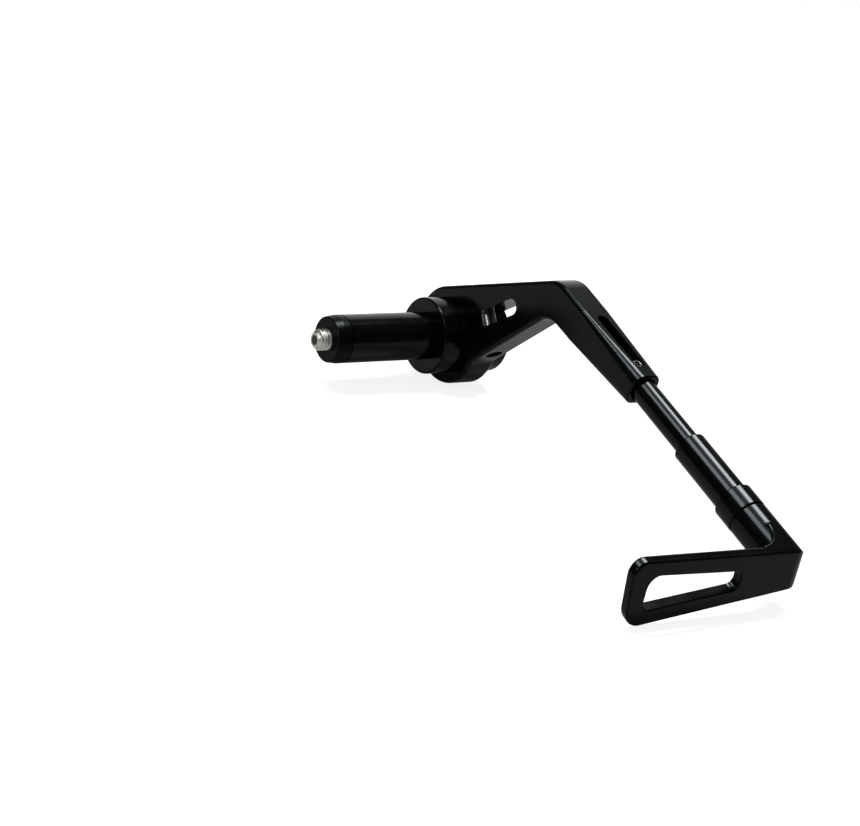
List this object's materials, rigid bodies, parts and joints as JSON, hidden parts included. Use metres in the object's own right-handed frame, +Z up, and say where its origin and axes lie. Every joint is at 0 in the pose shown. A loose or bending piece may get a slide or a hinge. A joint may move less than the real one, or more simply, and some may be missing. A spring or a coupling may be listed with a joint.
{
  "type": "brake lever guard",
  "caption": "Adjustable brake lever guard: a bar-end expander plug, a split clamp arm with an elbow, and a sliding stepped rod with a windowed hook that stands before the lever's tip.",
  "frame": {"origin": "on the bar axis, at the collar's inner end face, where the end of the handlebar meets it", "axes": "+X forwards along the arm's reach, +Z up, -Y inboard along the bar axis, into the handlebar"},
  "size_m": [0.2101, 0.0832, 0.0612],
  "materials": {
    "anodised_black": "milled and satin black anodised",
    "turned_black": "turned and gloss black anodised",
    "sleeve_rubber": "smooth moulded, satin",
    "plated_steel": "bright zinc plated, threaded"
  },
  "bodies": {
    "bar_end": {"bar_end_collar": "turned_black", "expander_sleeve": "sleeve_rubber", "expander_nut": "turned_black", "expander_bolt": "plated_steel", "bolt_washer": "plated_steel"},
    "arm": {"arm": "anodised_black", "pinch_screw": "plated_steel"},
    "reach": {"reach_rod": "turned_black", "reach_lock_screw": "plated_steel", "lever_hook": "anodised_black"}
  },
  "joints": [
    {"name": "clamp_swivel", "type": "hinge", "parent": "bar_end", "child": "arm", "pos_m": [0, 0.0159, 0], "axis": [0, 1, 0], "continuous": true},
    {"name": "reach_slide", "type": "slide", "parent": "arm", "child": "reach", "axis": [0.9537, 0, -0.3007], "range_m": [-0.0234, 0]}
  ]
}
